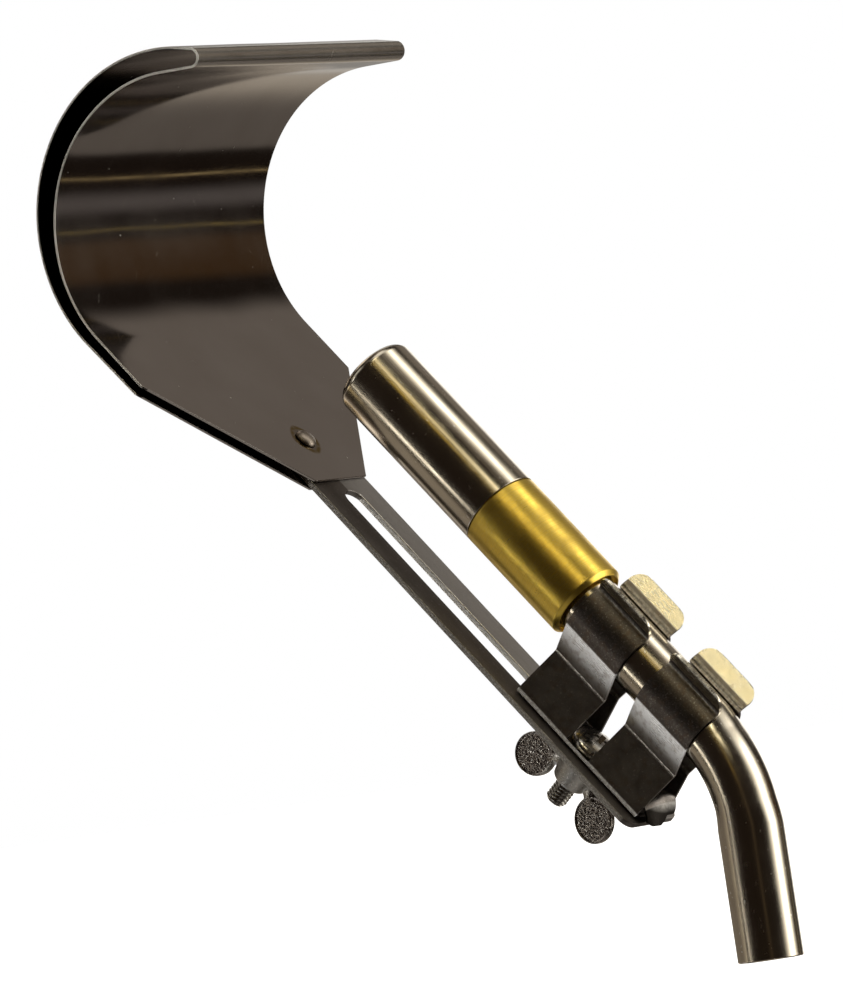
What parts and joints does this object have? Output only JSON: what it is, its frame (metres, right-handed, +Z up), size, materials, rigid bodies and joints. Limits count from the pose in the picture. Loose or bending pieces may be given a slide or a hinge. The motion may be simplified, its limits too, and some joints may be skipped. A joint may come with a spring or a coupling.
{
  "type": "hand torch burner with flame reflector",
  "caption": "Bent-neck gas torch burner with a curved double-wall flame reflector on a slotted arm, held by a spring clip, bolt and wing nut.",
  "frame": {"origin": "centre of the neck's inlet end, where the burner joins a torch body", "axes": "+Z up the lower neck, +X away from the side that the barrel leans to, so the barrel and reflector reach towards -X; +Y across the reflector; the object is laid out about the XZ plane"},
  "size_m": [0.167, 0.0962, 0.2547],
  "materials": {
    "stainless_neck": "polished stainless tube with fine lengthwise lines",
    "stainless_flame_tube": "polished stainless tube, faintly heat-tinted",
    "brass_collar": "satin turned brass with fine marks across the axis",
    "brass_inner": "turned brass",
    "zinc_inner": "dull plated steel",
    "copper_washer": "soft copper",
    "sintered_bronze": "porous sintered bronze",
    "spring_steel": "oil-blackened spring steel, worn bright at the lips",
    "ring_wire": "spring wire",
    "zinc_bolt": "bright zinc plate",
    "zinc_washer": "bright zinc plate",
    "zinc_wing_nut": "zinc-plated casting, stippled wings with bright rims",
    "arm_steel": "satin steel strip with deburred edges",
    "reflector_steel": "half-polished stainless sheet, brown-grey, finely scratched",
    "rivet_steel": "steel rivet with a brown heat tint"
  },
  "bodies": {
    "torch": {"neck_tube": "stainless_neck", "brass_collar": "brass_collar", "flame_tube": "stainless_flame_tube", "flame_holder": "brass_inner", "swirl_vanes": "brass_inner", "vane_pin": "zinc_inner", "holder_ring": "ring_wire", "jet_carrier": "brass_inner", "carrier_ring": "ring_wire", "gas_jet": "brass_inner", "jet_filter": "sintered_bronze", "jet_washer": "copper_washer", "mixing_throat": "zinc_inner"},
    "clip": {"spring_clip": "spring_steel"},
    "bolt": {"clamp_bolt": "zinc_bolt"},
    "arm": {"slotted_arm": "arm_steel", "reflector_shell": "reflector_steel", "reflector_rivet": "rivet_steel"},
    "washer": {"plain_washer": "zinc_washer"},
    "nut": {"wing_nut": "zinc_wing_nut"}
  },
  "joints": [
    {"name": "clip_swivel", "type": "hinge", "parent": "torch", "child": "clip", "pos_m": [-0.02215, 0, 0.07656], "axis": [-0.6293, 0, 0.7771], "continuous": true},
    {"name": "arm_swivel", "type": "hinge", "parent": "clip", "child": "bolt", "pos_m": [-0.04422, 0, 0.05868], "axis": [0.7771, 0, 0.6293], "range_deg": [-120, 120]},
    {"name": "arm_slide", "type": "slide", "parent": "bolt", "child": "arm", "axis": [-0.6293, 0, 0.7771], "range_m": [-0.028, 0.009]},
    {"name": "nut_travel", "type": "slide", "parent": "bolt", "child": "washer", "axis": [-0.7771, 0, -0.6293], "range_m": [0, 0.00601]},
    {"name": "nut_spin", "type": "hinge", "parent": "washer", "child": "nut", "pos_m": [-0.04422, 0, 0.05868], "axis": [-0.7771, 0, -0.6293], "range_deg": [0, 2160]}
  ],
  "couplings": [
    {"joint": "nut_travel", "follows": "nut_spin", "m_per_rad": 0.00015915}
  ]
}
